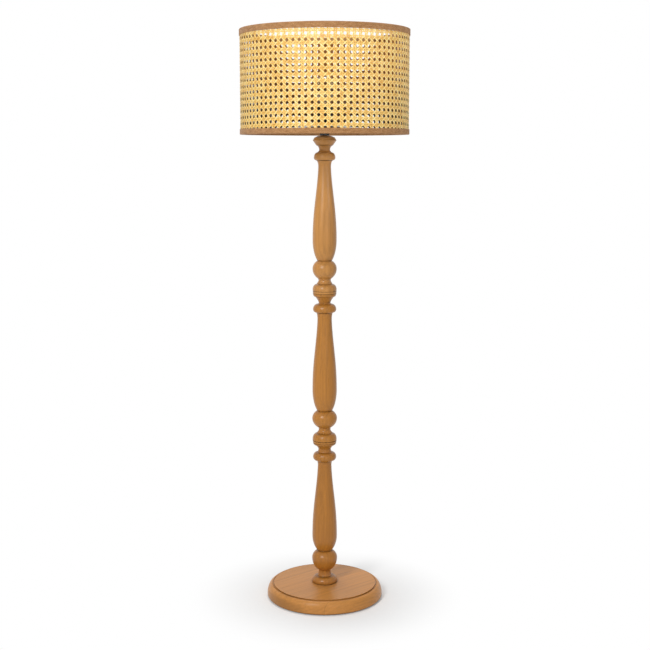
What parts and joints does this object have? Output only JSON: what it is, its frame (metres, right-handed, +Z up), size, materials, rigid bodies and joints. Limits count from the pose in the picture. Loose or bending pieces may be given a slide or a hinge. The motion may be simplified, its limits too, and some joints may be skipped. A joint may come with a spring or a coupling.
{
  "type": "rattan floor lamp",
  "caption": "Floor lamp with a turned wooden column on a weighted round base and an open drum shade of woven cane with taped rims.",
  "frame": {"origin": "on the floor, on the column's axis", "axes": "+Z up along the column, -Y is the front, +Y the back with the cord inlet and the shade's seam, +X to the right seen from the front"},
  "size_m": [0.454, 0.454, 1.563],
  "materials": {
    "wood": "satin lacquer",
    "cane": "natural cane, slight sheen",
    "tape": "woven linen tape",
    "black_plastic": "glossy moulded",
    "steel": "zinc plated",
    "cast_iron": "rough, black",
    "brass": "plain",
    "ceramic": "unglazed",
    "white_wire": "powder coated",
    "felt": "pressed felt",
    "glass": "clear"
  },
  "bodies": {
    "stand": {"felt_pad_1": "felt", "felt_pad_2": "felt", "felt_pad_3": "felt", "felt_pad_4": "felt", "base_disc": "wood", "cord_bush": "black_plastic", "base_weight": "cast_iron", "weight_screw_1": "steel", "weight_screw_2": "steel", "weight_screw_3": "steel", "base_washer": "steel", "base_nut": "steel", "base_rod": "steel", "lower_rod": "steel", "upper_rod": "steel", "holder_nipple": "steel", "lower_column": "wood", "middle_column": "wood", "upper_column": "wood", "lower_insert_bottom": "brass", "lower_insert_top": "brass", "middle_insert_bottom": "brass", "middle_insert_top": "brass", "upper_insert_bottom": "brass", "upper_insert_top": "brass", "collar": "black_plastic", "holder_cap": "black_plastic", "holder_body": "black_plastic", "contact_block": "ceramic", "centre_contact": "brass", "threaded_shell": "brass", "shade_ring": "black_plastic"},
    "shade": {"fitter_plate": "white_wire", "fitter_arm_1": "white_wire", "fitter_arm_2": "white_wire", "fitter_arm_3": "white_wire", "bottom_hoop": "white_wire", "top_hoop": "white_wire", "cane_webbing": "cane", "bottom_tape": "tape", "top_tape": "tape", "seam_tape": "tape"},
    "bulb_foot": {"bulb_contact": "black_plastic"},
    "bulb": {"bulb_cap": "brass", "bulb_glass": "glass", "bulb_stem": "glass", "bulb_filament": "steel"}
  },
  "joints": [
    {"name": "shade_turn", "type": "hinge", "parent": "stand", "child": "shade", "pos_m": [0, 0, 1.3114], "axis": [0, 0, 1], "continuous": true},
    {"name": "bulb_rise", "type": "slide", "parent": "stand", "child": "bulb_foot", "axis": [0, 0, 1], "range_m": [0, 0.01815]},
    {"name": "bulb_turn", "type": "hinge", "parent": "bulb_foot", "child": "bulb", "pos_m": [0, 0, 1.3369], "axis": [0, 0, 1], "range_deg": [0, 1800]}
  ],
  "couplings": [
    {"joint": "bulb_rise", "follows": "bulb_turn", "m_per_rad": 0.00057775}
  ]
}
